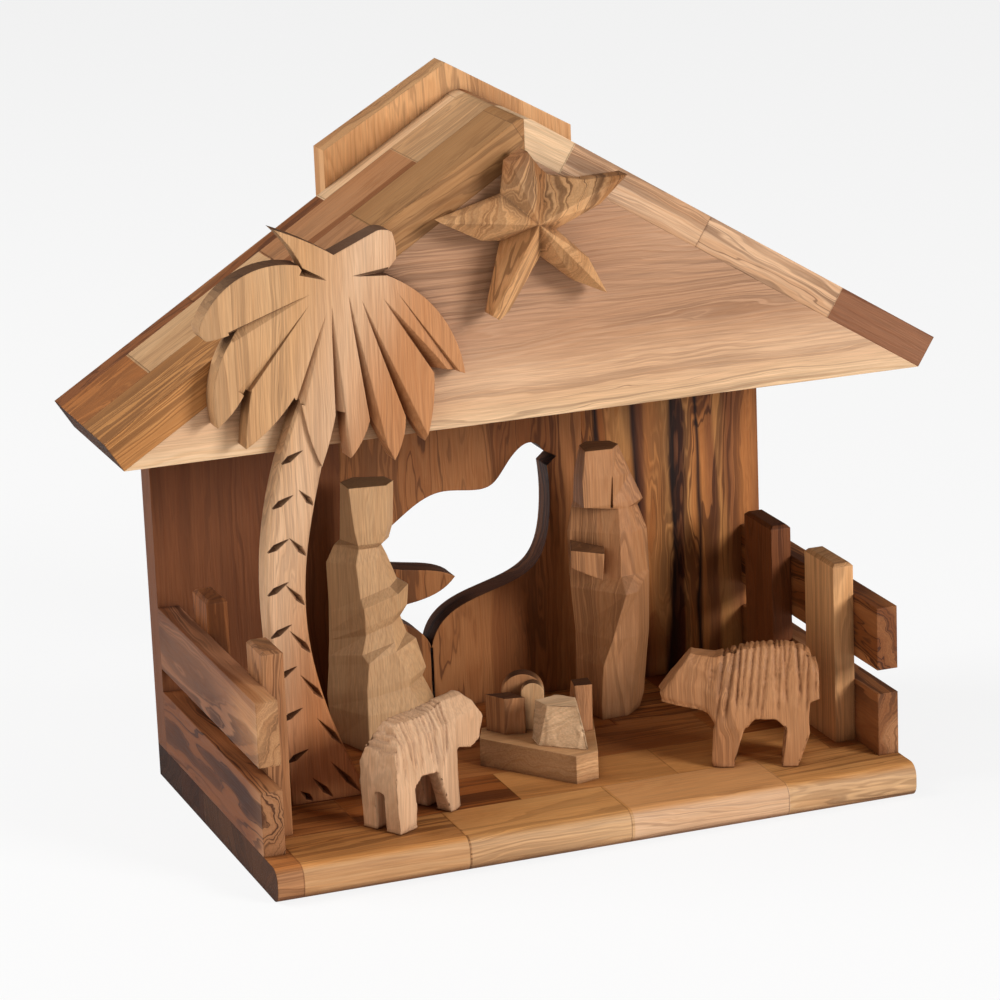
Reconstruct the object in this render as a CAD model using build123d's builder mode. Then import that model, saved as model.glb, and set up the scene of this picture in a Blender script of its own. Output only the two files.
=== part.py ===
"""Olive-wood nativity stable, glued up from staves, boards and carved pieces.

Millimetres. The origin is the centre of the base's underside, +X is to the right seen
from the front, +Y goes to the back wall and +Z is up.
"""

import os
from math import atan2, cos, radians, sin, tan

from build123d import *

os.makedirs("parts", exist_ok=True)

# Base board, five rows of short staves
BASE_WIDTH = 165.0
BASE_DEPTH = 101.2
BASE_THICK = 8.5
BASE_ROWS = 5
NOSE_RADIUS = 3.2
STAVE_LENGTH = 41.4
STAVE_STAGGER = 20.7
BASE_FIRST_STAVE = 6.5

# Back wall, three upright boards with a dove sawn through the middle one
WALL_THICK = 8.0
CENTER_BOARD_WIDTH = 65.8
CENTER_SHOULDER = 158.2
CENTER_PEAK = 177.2
WALL_LAP = 5.0
KERF = 0.7

# Roof, two boards of three stave rows each, and the gable board under them
ROOF_OFFSET = 3.0
ROOF_DEPTH = 46.6
ROOF_SPAN = 216.5
ROOF_RISE = 67.7
EAVE_HEIGHT = 103.4
ROOF_THICK = 8.4
ROOF_BACK_RIP = 6.2
RIDGE_ROUND = 5.0
LEFT_FIRST_STAVE = 44.8
RIGHT_FIRST_STAVE = 15.3
GABLE_THICK = 8.0

# Fences, rails outside and posts inside
RAIL_THICK = 5.4
RAIL_HEIGHT = 16.0
RAIL_GAP = 6.2
RAIL_FRONT = 40.5
POST_THICK = 5.4
POST_HEIGHT = 46.5
POST_CHAMFER = 0.8
RIGHT_POST_DEPTH = 17.0
LEFT_POST_DEPTH = 12.0
RIGHT_POST_FRONTS = (-27.0, 10.5)
LEFT_POST_FRONTS = (-29.0, 16.5)

# Palm, sawn from one thin board, the trunk cut back a little behind the fronds
PALM_THICK = 6.4
TRUNK_STEP = 1.0
TRUNK_BEVEL = 0.7
PALM_INSET = 16.5
PALM_FOOT = 18.0
CROWN_HEIGHT = 128.6
CROWN_LAP = 22.0
NOTCH_WIDTH = 2.0
NOTCH_DEPTH = 1.7
NOTCH_FULLEST = 0.4
LEFT_NOTCHES = 8
FIRST_LEFT_NOTCH = 10.9
LEFT_NOTCH_PITCH = 10.7
LEFT_NOTCH_RUN = 6.0
LEFT_NOTCH_RISE = 2.9
RIGHT_NOTCHES = 7
FIRST_RIGHT_NOTCH = 0.6
RIGHT_NOTCH_PITCH = 12.3
RIGHT_NOTCH_RUN = 7.4
RIGHT_NOTCH_RISE = 9.2
RIGHT_NOTCH_TAPER = 0.08
OVERCUT = 0.3

# Star and the peg that holds it off the gable
STAR_EDGE = 6.5
STAR_CROWN = 4.4
STAR_POINT = 0.04
STAR_X = 2.2
STAR_HEIGHT = 146.2
PEG_DIAMETER = 8.0
PEG_LENGTH = 3.0

# Standing figures, set facing each other across the manger
JOSEPH_X = -30.0
JOSEPH_FROM_WALL = 14.6
MARY_X = 30.0
MARY_FROM_WALL = 18.1
FIGURE_TURN = -20.4
FAR_EDGE_REACH = 0.7
BACK_NARROWING = 0.6
HANDS_REACH = 10.0
VEIL_CUT_REACH = 6.0
VEIL_CUT_WIDTH = 0.9
VEIL_CUT_DEPTH = 2.2

# Manger and child
MANGER_FROM_WALL = 42.6
MANGER_THICK = 7.2
CRIB_SIDE_HEIGHT = 9.4
CRIB_FIN_HEIGHT = 11.6
CHILD_HEIGHT = 10.8
HEADBOARD_X = 0.2
HEADBOARD_Y = 4.6
HEADBOARD_WIDTH = 10.8
HEADBOARD_HEIGHT = 13.6
HEADBOARD_THICK = 4.0
HEAD_SHIFT = 2.5
HEAD_WIDTH = 5.8
HEAD_HEIGHT = 12.2
HEAD_THICK = 3.0

# Sheep, sawn from the side, from the front and from above, then grooved
SHEEP_WIDTH = 12.4
FLANK_TOP = 0.55
SHOULDER_TOP = 0.8
SHOULDER_WIDTH = 0.8
SPINE_WIDTH = 0.3
NECK = (9.0, 1.0)
CHEEK = (13.0, 0.75)
MUZZLE = (19.0, 0.7)
NOSE = (27.0, 0.36)
LEG_SLOT = 2.4
LEG_SLOT_HEIGHT = 10.0
WOOL_WIDTH = 1.1
WOOL_DEPTH = 0.6
NECK_CUT_REACH = 5.4
NECK_CUT_WIDTH = 1.0
NECK_CUT_DEPTH = 2.4
LEFT_SHEEP_INSET = 41.3
LEFT_SHEEP_FROM_FRONT = 20.8
LEFT_SHEEP_HEADING = 30.6
RIGHT_SHEEP_INSET = 33.9
RIGHT_SHEEP_FROM_FRONT = 21.2
RIGHT_SHEEP_HEADING = 155.7

base_top = BASE_THICK
wall_back = BASE_DEPTH / 2
wall_front = wall_back - WALL_THICK
gable_front = wall_front - ROOF_DEPTH
roof_slope = atan2(ROOF_RISE, ROOF_SPAN / 2)
ridge_height = EAVE_HEIGHT + ROOF_RISE
ridge_drop = ROOF_THICK / cos(roof_slope)


def write(piece, name):
    """Label a finished piece and write its STEP file."""
    piece.part.label = name
    export_step(piece.part, f"parts/{name}.step")


def facing(y):
    """Upright plane at depth y that faces the viewer, X to the right and Z up."""
    return Plane(origin=(0, y, 0), x_dir=(1, 0, 0), z_dir=(0, -1, 0))


def faceted(rings):
    """Solid with flat facets between rings of points that all have the same count."""
    faces = [Face(Wire.make_polygon(rings[0])), Face(Wire.make_polygon(rings[-1]))]
    for low, high in zip(rings, rings[1:]):
        for corner in range(len(low)):
            after = (corner + 1) % len(low)
            faces.append(Face(Wire.make_polygon((low[corner], low[after], high[after]))))
            faces.append(Face(Wire.make_polygon((low[corner], high[after], high[corner]))))
    return Solid(Shell(faces))


def ring(plane, points):
    """Points of a plane's local X and Y in the part's frame."""
    return [plane.from_local_coords((x, y, 0)) for x, y in points]


def joints(first, length):
    """Distances of the butt joints along a row whose first stave is cut to size."""
    places = []
    place = first
    while place < length - 1:
        places.append(place)
        place += STAVE_LENGTH
    return places


# Base rows, the front one with a rounded nose
row_depth = BASE_DEPTH / BASE_ROWS
for row in range(BASE_ROWS):
    row_front = -BASE_DEPTH / 2 + row * row_depth
    first_stave = BASE_FIRST_STAVE + STAVE_STAGGER * (row % 2)
    with BuildPart() as base_row:
        with BuildSketch(Plane.XY):
            with Locations((0, row_front + row_depth / 2)):
                Rectangle(BASE_WIDTH, row_depth)
        extrude(amount=BASE_THICK)
        if row == 0:
            nose = base_row.faces().sort_by(Axis.Y)[0].edges().filter_by(Axis.X)
            fillet(nose, radius=NOSE_RADIUS)
        for place in joints(first_stave, BASE_WIDTH):
            split(bisect_by=Plane.YZ.offset(place - BASE_WIDTH / 2), keep=Keep.BOTH)
    write(base_row, f"base_row_{row + 1}")


# Back wall: the side boards reach a little way up behind the roof boards
def roof_underside(x):
    """Height of the roof boards' underside at x."""
    return ridge_height - ridge_drop - abs(x - ROOF_OFFSET) * tan(roof_slope)


for side, name in ((-1, "back_board_left"), (1, "back_board_right")):
    inner = side * CENTER_BOARD_WIDTH / 2
    outer = side * BASE_WIDTH / 2
    with BuildPart() as side_board:
        with BuildSketch(facing(wall_back)):
            Polygon(
                (inner, base_top),
                (outer, base_top),
                (outer, roof_underside(outer) + WALL_LAP),
                (inner, roof_underside(inner) + WALL_LAP),
                align=None,
            )
        extrude(amount=WALL_THICK)
    write(side_board, name)

# The dove's outline: head and back, wing top, wing underside, tail, then belly and breast
DOVE = (
    ((22.6, 73.6), (18.2, 76.7), (13.1, 73.1), (7.6, 66.8), (-5.8, 66.8), (-19.1, 60.1), (-27.0, 54.5)),
    ((-27.0, 54.5), (-25.0, 51.0), (-8.9, 46.1), (-3.2, 43.8)),
    ((-3.2, 43.8), (-9.2, 39.7), (-16.1, 38.2), (-24.0, 36.8)),
    ((-24.0, 36.8), (-18.2, 33.4), (-11.9, 28.6), (-10.4, 25.2)),
    ((-10.4, 25.2), (-6.2, 33.0), (8.4, 39.0), (19.2, 44.3), (23.4, 57.0), (23.2, 69.6), (22.6, 73.6)),
)

# The middle board with its gabled top, the dove and the saw's way in below the tail
tail_x, tail_z = DOVE[-1][0]
with BuildPart() as center_board:
    with BuildSketch(facing(wall_back)):
        Polygon(
            (-CENTER_BOARD_WIDTH / 2, base_top),
            (CENTER_BOARD_WIDTH / 2, base_top),
            (CENTER_BOARD_WIDTH / 2, CENTER_SHOULDER),
            (0, CENTER_PEAK),
            (-CENTER_BOARD_WIDTH / 2, CENTER_SHOULDER),
            align=None,
        )
    extrude(amount=WALL_THICK)
    with BuildSketch(facing(wall_back)):
        with BuildLine():
            for run in DOVE:
                Spline(*run)
        make_face()
        with Locations((tail_x, (base_top + tail_z) / 2)):
            Rectangle(KERF, tail_z - base_top + KERF)
    extrude(amount=WALL_THICK, mode=Mode.SUBTRACT)
write(center_board, "back_board_center")


# Roof boards: mitred at the ridge, square to the slope at the eaves
def roof_row(side, row_front, row_back, first_stave):
    """One row of roof staves on the given side, running from the ridge to the eave."""
    round_center = ridge_height - RIDGE_ROUND / cos(roof_slope)
    half_turn = roof_slope / 2
    eave_x = ROOF_SPAN / 2 - ROOF_THICK * sin(roof_slope)
    eave_z = EAVE_HEIGHT - ROOF_THICK * cos(roof_slope)
    slope_length = ROOF_SPAN / 2 / cos(roof_slope)
    with BuildPart() as staves:
        with BuildSketch(facing(row_back).shift_origin((ROOF_OFFSET, row_back, 0))):
            with BuildLine():
                ridge = ThreePointArc(
                    (0, round_center + RIDGE_ROUND),
                    (side * RIDGE_ROUND * sin(half_turn), round_center + RIDGE_ROUND * cos(half_turn)),
                    (side * RIDGE_ROUND * sin(roof_slope), round_center + RIDGE_ROUND * cos(roof_slope)),
                )
                Polyline(
                    ridge @ 1,
                    (side * ROOF_SPAN / 2, EAVE_HEIGHT),
                    (side * eave_x, eave_z),
                    (0, ridge_height - ridge_drop),
                    ridge @ 0,
                )
            make_face()
        extrude(amount=row_back - row_front)
        for place in joints(first_stave, slope_length):
            joint_x = ROOF_OFFSET + side * place * cos(roof_slope)
            joint_z = ridge_height - place * sin(roof_slope)
            down_slope = (side * cos(roof_slope), 0, -sin(roof_slope))
            split(bisect_by=Plane(origin=(joint_x, row_front, joint_z), z_dir=down_slope), keep=Keep.BOTH)
    return staves


wide_row = (ROOF_DEPTH - ROOF_BACK_RIP) / 2
row_edges = (gable_front, gable_front + wide_row, gable_front + 2 * wide_row, wall_front)
for side, name, first in ((-1, "roof_left", LEFT_FIRST_STAVE), (1, "roof_right", RIGHT_FIRST_STAVE)):
    for row in range(3):
        stagger = STAVE_STAGGER * (row % 2) * (1 if first < STAVE_STAGGER else -1)
        staves = roof_row(side, row_edges[row], row_edges[row + 1], first + stagger)
        write(staves, f"{name}_row_{row + 1}")

# Gable board, flush with the roof's front and fitted under both slopes
gable_half = ROOF_SPAN / 2 - ROOF_THICK * sin(roof_slope)
gable_bottom = EAVE_HEIGHT - ROOF_THICK * cos(roof_slope)
with BuildPart() as gable_board:
    with BuildSketch(facing(gable_front + GABLE_THICK)):
        Polygon(
            (ROOF_OFFSET - gable_half, gable_bottom),
            (ROOF_OFFSET + gable_half, gable_bottom),
            (ROOF_OFFSET, ridge_height - ridge_drop),
            align=None,
        )
    extrude(amount=GABLE_THICK)
write(gable_board, "gable_board")

# Fences
rail_length = wall_front + RAIL_FRONT
for side, side_name in ((-1, "left"), (1, "right")):
    rail_x = side * (BASE_WIDTH / 2 - RAIL_THICK / 2)
    for level, level_name in ((0, "lower"), (1, "upper")):
        rail_bottom = base_top + level * (RAIL_HEIGHT + RAIL_GAP)
        with BuildPart() as rail:
            with BuildSketch(Plane.XY.offset(rail_bottom)):
                with Locations((rail_x, wall_front - rail_length / 2)):
                    Rectangle(RAIL_THICK, rail_length)
            extrude(amount=RAIL_HEIGHT)
        write(rail, f"{side_name}_{level_name}_rail")
    post_x = side * (BASE_WIDTH / 2 - RAIL_THICK - POST_THICK / 2)
    post_depth = LEFT_POST_DEPTH if side < 0 else RIGHT_POST_DEPTH
    post_fronts = LEFT_POST_FRONTS if side < 0 else RIGHT_POST_FRONTS
    for post_front, place_name in zip(post_fronts, ("front", "back")):
        with BuildPart() as post:
            with BuildSketch(Plane.XY.offset(base_top)):
                with Locations((post_x, post_front + post_depth / 2)):
                    Rectangle(POST_THICK, post_depth)
            extrude(amount=POST_HEIGHT)
            chamfer(post.faces().sort_by(Axis.Z)[-1].edges(), length=POST_CHAMFER)
        write(post, f"{side_name}_{place_name}_post")


def knife_cut(plane, start, end, left, right, depth):
    """Tapered V in a plane's face that starts full at one end and runs out at the other."""
    along = plane.from_local_coords((*end, 0)) - plane.from_local_coords((*start, 0))
    start_plane = Plane(
        origin=plane.from_local_coords((*start, 0)),
        x_dir=along.cross(plane.z_dir),
        z_dir=along,
    )
    full = ((-left, -OVERCUT), (right, -OVERCUT), (0, depth))
    run_out = ((-OVERCUT, -OVERCUT), (OVERCUT, -OVERCUT), (0, 0))
    return faceted([ring(start_plane, full), ring(start_plane.offset(along.length), run_out)])


# Palm: the trunk first, then the crown's sawn outline, then the knife cuts. All of it is drawn
# from the left corner of the palm's foot.
palm_back = gable_front
palm_plane = facing(palm_back).shift_origin((PALM_INSET - BASE_WIDTH / 2, palm_back, base_top))

# Crown outline from the spike round to the left: distance to the right, height over the crown's
# centre, and bulge of the arc that leads on to the next point
CROWN_OUTLINE = (
    (3.2, 14.4, -0.8),
    (10.7, 2.2, 0.0),
    (8.8, 5.2, 5.2),
    (-16.2, -7.1, 0.6),
    (-14.6, -10.4, 0.4),
    (-6.7, -8.7, 3.0),
    (-13.1, -31.7, 0.7),
    (-5.4, -23.0, 0.4),
    (-4.3, -23.6, 0.3),
    (-6.4, -37.6, 0.9),
    (6.2, -26.4, 0.5),
    (7.6, -27.2, 0.0),
    (8.8, -33.6, 0.3),
    (12.1, -44.3, 0.3),
    (16.3, -31.4, 0.0),
    (18.7, -31.8, 0.3),
    (19.4, -43.2, 0.8),
    (25.0, -33.2, 0.0),
    (30.5, -45.1, 1.0),
    (33.7, -33.1, 0.0),
    (38.7, -41.6, 0.8),
    (41.4, -24.0, -0.4),
    (49.3, -25.9, 4.4),
    (29.9, 0.7, 0.0),
    (33.1, 4.1, 0.4),
    (32.3, 10.7, 0.4),
    (28.5, 11.4, 0.0),
    (17.6, 6.8, 0.4),
)

# Knife cuts between the fronds: outer end, inner end, width to the left and to the right, depth
CROWN_CUTS = (
    ((48.0, -26.4), (33.0, -4.0), 2.8, 0.7, 1.2),
    ((45.2, -30.0), (29.4, -5.0), 0.5, 3.8, 3.8),
    ((37.0, -43.0), (24.0, -4.7), 0.5, 3.4, 3.8),
    ((26.7, -46.5), (20.8, -3.0), 0.5, 3.4, 3.8),
    ((16.4, -45.0), (16.6, -5.0), 0.4, 3.8, 3.8),
    ((6.8, -28.0), (15.2, -7.0), 0.5, 2.4, 1.8),
    ((-6.0, -24.6), (11.0, -4.6), 2.6, 0.7, 1.3),
    ((-9.0, -9.4), (11.6, -2.0), 0.7, 2.6, 1.4),
    ((9.6, 4.0), (15.6, 0.8), 0.6, 1.6, 1.8),
    ((31.0, 1.0), (22.0, 1.2), 0.8, 1.6, 1.6),
)

# Two more cuts in the flare of the foot, from the outer end to the inner end
FOOT_CUTS = (((10.9, 0.4), (5.8, 6.3)), ((5.7, 0.4), (2.5, 3.4)))


def gouge(plane, outer, inner):
    """Lens-shaped gouge: two knife cuts that run out both ways from the fullest place."""
    outer_end = Vector(*outer)
    fullest = outer_end + (Vector(*inner) - outer_end) * NOTCH_FULLEST
    middle = (fullest.X, fullest.Y)
    half = NOTCH_WIDTH / 2
    first = knife_cut(plane, middle, outer, half, half, NOTCH_DEPTH)
    second = knife_cut(plane, middle, inner, half, half, NOTCH_DEPTH)
    return [first, second]


def edge_at(side, height):
    """Distance to the right of a trunk side at a height."""
    level = Line((-PALM_FOOT, height), (2 * PALM_FOOT, height), mode=Mode.PRIVATE)
    return side.intersect(level).vertices()[0].X


with BuildPart() as palm:
    with BuildSketch(palm_plane):
        with BuildLine():
            trunk_top = CROWN_HEIGHT - CROWN_LAP
            left_side = Spline((0, 0), (-3.2, 44), (-2.6, 66), (2.8, 88.6), (10.5, trunk_top))
            right_side = Spline(
                (18.2, trunk_top), (12.7, 84.6), (7.9, 63.9), (6.7, 48), (10.2, 25.6), (PALM_FOOT, 5)
            )
            Line(left_side @ 1, right_side @ 0)
            Polyline(right_side @ 1, (PALM_FOOT, 0), (0, 0))
        make_face()
    extrude(amount=PALM_THICK - TRUNK_STEP)
    trunk_front = palm.faces().sort_by(Axis.Y)[0]
    chamfer(trunk_front.edges().filter_by(GeomType.BSPLINE), length=TRUNK_BEVEL)
    trunk_face = palm_plane.offset(PALM_THICK - TRUNK_STEP)
    for notch in range(LEFT_NOTCHES):
        height = FIRST_LEFT_NOTCH + notch * LEFT_NOTCH_PITCH
        edge = edge_at(left_side, height)
        notch_end = (edge + LEFT_NOTCH_RUN, height + LEFT_NOTCH_RISE)
        add(gouge(trunk_face, (edge, height), notch_end), mode=Mode.SUBTRACT)
    for notch in range(RIGHT_NOTCHES):
        height = FIRST_RIGHT_NOTCH + notch * RIGHT_NOTCH_PITCH
        edge = PALM_FOOT if notch == 0 else edge_at(right_side, height)
        share = 1 - notch * RIGHT_NOTCH_TAPER
        notch_end = (edge - share * RIGHT_NOTCH_RUN, height + share * RIGHT_NOTCH_RISE)
        add(gouge(trunk_face, (edge, height), notch_end), mode=Mode.SUBTRACT)
    for outer, inner in FOOT_CUTS:
        add(gouge(trunk_face, outer, inner), mode=Mode.SUBTRACT)
    with BuildSketch(palm_plane):
        with BuildLine():
            outline = [(x, CROWN_HEIGHT + rise) for x, rise, bulge in CROWN_OUTLINE]
            for place, (x, rise, bulge) in enumerate(CROWN_OUTLINE):
                after = outline[(place + 1) % len(outline)]
                if bulge:
                    SagittaArc(outline[place], after, -bulge)
                else:
                    Line(outline[place], after)
        make_face()
    extrude(amount=PALM_THICK)
    for start, end, left, right, depth in CROWN_CUTS:
        outer = (start[0], CROWN_HEIGHT + start[1])
        inner = (end[0], CROWN_HEIGHT + end[1])
        add(knife_cut(palm_plane.offset(PALM_THICK), outer, inner, left, right, depth), mode=Mode.SUBTRACT)
write(palm, "palm_tree")

# Star: five ridged rays cut in from the waists, on a peg. The outline runs from the left ray's tip
# round below, measured from the centre.
STAR_OUTLINE = (
    (-22.8, 2.0), (-13.1, -2.7), (-5.6, -3.7), (-8.8, -7.2), (-10.0, -22.8), (-2.1, -14.4),
    (1.6, -6.5), (8.0, -14.2), (17.7, -19.1), (12.6, -8.8), (5.9, -2.2), (12.1, -1.5),
    (21.8, 6.7), (5.8, 7.9), (2.0, 13.4), (-3.5, 14.1), (-5.8, 6.8),
)
star_back = gable_front - PEG_LENGTH
star_plane = facing(star_back).shift_origin((STAR_X, star_back, STAR_HEIGHT))
star_point = [(x * STAR_POINT, z * STAR_POINT) for x, z in STAR_OUTLINE]
star_front = star_plane.offset(STAR_EDGE)
with BuildPart() as star:
    with BuildSketch(star_plane):
        Polygon(*STAR_OUTLINE, align=None)
    extrude(amount=STAR_EDGE)
    add(faceted([ring(star_front, STAR_OUTLINE), ring(star_front.offset(STAR_CROWN), star_point)]))
write(star, "star")

with BuildPart() as star_peg:
    with BuildSketch(facing(gable_front).shift_origin((STAR_X, gable_front, STAR_HEIGHT))):
        Circle(PEG_DIAMETER / 2)
    extrude(amount=PEG_LENGTH)
write(star_peg, "star_peg")


# Figures: flat knife cuts between levels, each level a six-sided section.
# A level is its height, left side, near edge, far edge, right side, reach to the front,
# reach to the back, and how far its right side is tipped up in degrees.
JOSEPH_LEVELS = (
    (0.0, -11.5, -2.5, 11.0, 14.8, 12.0, 9.0, 0),
    (10.0, -13.0, -2.6, 11.0, 13.8, 11.5, 9.0, 4),
    (14.5, -13.4, -2.6, 8.0, 11.4, 10.5, 9.0, 10),
    (16.5, -13.2, -2.6, 8.5, 12.4, 10.5, 9.0, 10),
    (23.6, -12.9, -1.8, 5.2, 10.4, 10.0, 9.0, 16),
    (26.0, -12.8, -3.6, 5.0, 8.0, 8.5, 9.0, 16),
    (30.5, -12.6, -2.4, 4.5, 6.6, 7.0, 8.8, 18),
    (32.8, -12.5, -2.4, 6.0, 8.6, 8.0, 8.6, 18),
    (38.0, -12.3, -2.5, 6.5, 9.1, 9.0, 8.4, 18),
    (40.5, -12.2, -3.4, 4.5, 6.2, 7.5, 8.2, 18),
    (48.5, -11.8, -4.0, 2.5, 3.6, 6.5, 7.0, 6),
    (51.8, -9.5, -3.2, 1.6, 2.2, 5.5, 5.0, 0),
    (53.2, -8.0, -3.2, 3.0, 4.3, 6.5, 4.2, 0),
    (57.0, -7.8, -3.9, 4.2, 5.5, 7.0, 4.2, 0),
    (68.0, -7.2, -4.9, 4.5, 6.1, 6.5, 4.0, 0),
)
MARY_LEVELS = (
    (0.0, -7.4, -0.8, 6.0, 9.0, 9.7, 8.0, 0),
    (4.0, -7.4, -1.0, 6.5, 10.2, 9.5, 8.0, 0),
    (14.0, -7.1, -0.2, 8.0, 11.2, 9.0, 8.0, 0),
    (21.0, -6.9, 2.4, 9.0, 12.0, 9.0, 8.0, 0),
    (33.0, -7.8, 6.2, 9.4, 12.4, 9.0, 8.0, 0),
    (37.0, -8.0, 5.2, 8.6, 12.5, 6.0, 8.0, 0),
    (48.0, -8.2, 5.2, 8.4, 12.2, 5.0, 7.0, 0),
    (54.4, -7.0, 5.0, 7.4, 10.0, 4.0, 6.0, 0),
    (56.0, -6.4, -3.8, 3.2, 11.4, 7.5, 6.4, 0),
    (63.0, -6.0, -3.9, 3.6, 8.4, 7.5, 5.4, 0),
    (70.5, -4.4, -3.0, 4.0, 5.5, 6.5, 3.6, 0),
)

# Mary's joined hands and the cut between head and veil, drawn from the front
MARY_HANDS = ((-7.5, 45.6), (1.0, 44.4), (0.4, 37.4), (-7.6, 41.0))
VEIL_CUT = ((3.3, 55.0), (4.2, 72.0))

figures = (
    ("joseph_figure", JOSEPH_LEVELS, JOSEPH_X, wall_front - JOSEPH_FROM_WALL),
    ("mary_figure", MARY_LEVELS, MARY_X, wall_front - MARY_FROM_WALL),
)
turn = radians(FIGURE_TURN)
rightward = Vector(cos(turn), sin(turn), 0)
for name, levels, place_x, place_y in figures:
    front_plane = Plane(
        origin=(place_x, place_y, base_top),
        x_dir=rightward,
        z_dir=(sin(turn), -cos(turn), 0),
    )
    sections = []
    for height, left, near_edge, far_edge, right, front, back, tip in levels:
        level = Plane(
            origin=(place_x, place_y, base_top + height),
            x_dir=rightward * cos(radians(tip)) + Vector(0, 0, sin(radians(tip))),
            z_dir=Vector(0, 0, cos(radians(tip))) - rightward * sin(radians(tip)),
        )
        corners = (
            (left, 0),
            (near_edge, -front),
            (far_edge, -FAR_EDGE_REACH * front),
            (right, 0),
            (BACK_NARROWING * right, back),
            (BACK_NARROWING * left, back),
        )
        sections.append(ring(level, corners))
    with BuildPart() as figure:
        add(faceted(sections))
        if name == "mary_figure":
            with BuildSketch(front_plane):
                Polygon(*MARY_HANDS, align=None)
            extrude(amount=HANDS_REACH)
            veil_face = front_plane.offset(VEIL_CUT_REACH)
            veil_cut = knife_cut(veil_face, *VEIL_CUT, VEIL_CUT_WIDTH, VEIL_CUT_WIDTH, VEIL_CUT_DEPTH)
            add(veil_cut, mode=Mode.SUBTRACT)
    write(figure, name)

# Manger block, tapering to the front, with the crib's two sides standing on it
manger_y = wall_front - MANGER_FROM_WALL
manger_top = base_top + MANGER_THICK
manger_floor = Plane(origin=(0, manger_y, base_top))
crib_floor = Plane(origin=(0, manger_y, manger_top))
with BuildPart() as manger_base:
    with BuildSketch(manger_floor):
        Polygon((-14.4, -3.0), (2.2, -26.4), (8.6, -24.8), (16.4, -2.0), (-11.2, 4.2), align=None)
    extrude(amount=MANGER_THICK)
write(manger_base, "manger_base")

with BuildPart() as crib_left:
    with BuildSketch(crib_floor):
        Polygon((-10.6, 2.2), (-7.6, -3.4), (-2.6, -4.6), (-4.6, 1.0), align=None)
    extrude(amount=CRIB_SIDE_HEIGHT)
write(crib_left, "crib_left_side")

FIN_BOTTOM = ((9.6, -10.4), (13.2, -9.8), (15.4, -3.4), (9.0, -3.0))
FIN_TOP = ((9.4, -8.0), (13.8, -8.8), (14.8, -3.4), (10.4, -3.0))
with BuildPart() as crib_right:
    add(faceted([ring(crib_floor, FIN_BOTTOM), ring(crib_floor.offset(CRIB_FIN_HEIGHT), FIN_TOP)]))
write(crib_right, "crib_right_side")

# Child: a faceted body, and a small arched head before the arched headboard
CHILD_BOTTOM = ((-2.8, -8.4), (-3.4, -14.7), (6.7, -23.6), (9.2, -13.2), (3.4, -7.4))
CHILD_TOP = ((-2.4, -10.6), (-1.4, -16.4), (5.2, -20.8), (7.6, -13.4), (3.4, -9.4))
with BuildPart() as child_body:
    add(faceted([ring(crib_floor, CHILD_BOTTOM), ring(crib_floor.offset(CHILD_HEIGHT), CHILD_TOP)]))
write(child_body, "child_body")

headboard_plane = Plane(
    origin=(HEADBOARD_X, manger_y + HEADBOARD_Y, manger_top),
    x_dir=rightward,
    z_dir=(sin(turn), -cos(turn), 0),
)
arches = (
    ("headboard", headboard_plane, 0, HEADBOARD_WIDTH, HEADBOARD_HEIGHT, HEADBOARD_THICK),
    ("child_head", headboard_plane.offset(HEADBOARD_THICK), HEAD_SHIFT, HEAD_WIDTH, HEAD_HEIGHT, HEAD_THICK),
)
for name, plane, shift, width, height, thick in arches:
    with BuildPart() as arch:
        with BuildSketch(plane):
            with BuildLine():
                crest = ThreePointArc(
                    (shift - width / 2, height - width / 2),
                    (shift, height),
                    (shift + width / 2, height - width / 2),
                )
                Polyline(crest @ 1, (shift + width / 2, 0), (shift - width / 2, 0), crest @ 0)
            make_face()
        extrude(amount=thick)
    write(arch, name)

# Sheep: side outlines from the nose over the jaw, the legs and the back
RIGHT_SHEEP_OUTLINE = (
    (23.7, 18.8), (22.9, 16.5), (12.2, 14.4), (10.1, 11.0), (10.8, 0.0), (5.0, 0.0),
    (2.2, 9.5), (0.0, 12.4), (-5.5, 12.4), (-7.6, 10.0), (-6.3, 0.0), (-10.8, 0.0),
    (-13.7, 8.3), (-13.8, 16.6), (-16.5, 17.6), (-15.8, 25.5), (-13.4, 29.4), (-8.6, 30.9),
    (3.2, 30.2), (9.4, 28.2), (15.5, 29.2),
)
LEFT_SHEEP_OUTLINE = (
    (23.6, 19.4), (21.4, 14.4), (17.0, 13.4), (11.4, 15.0), (12.2, 0.0), (6.6, 0.0),
    (4.0, 8.4), (2.6, 11.6), (-3.3, 12.4), (-6.2, 10.0), (-5.3, 0.0), (-12.3, 0.0),
    (-13.2, 12.0), (-12.0, 20.0), (-7.5, 26.4), (3.9, 26.0), (9.4, 27.2), (17.6, 27.0),
)

# Wool grooves: place along the body, lean in degrees and height of the lower end
WOOL_GROOVES = (
    (-11.0, -3, 11.0), (-8.6, -1, 9.5), (-6.0, -4, 12.0), (-3.2, -1, 13.0),
    (-0.8, -3, 12.6), (1.8, -1, 11.4), (4.6, -2, 9.0), (7.4, 1, 12.0),
)

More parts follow.
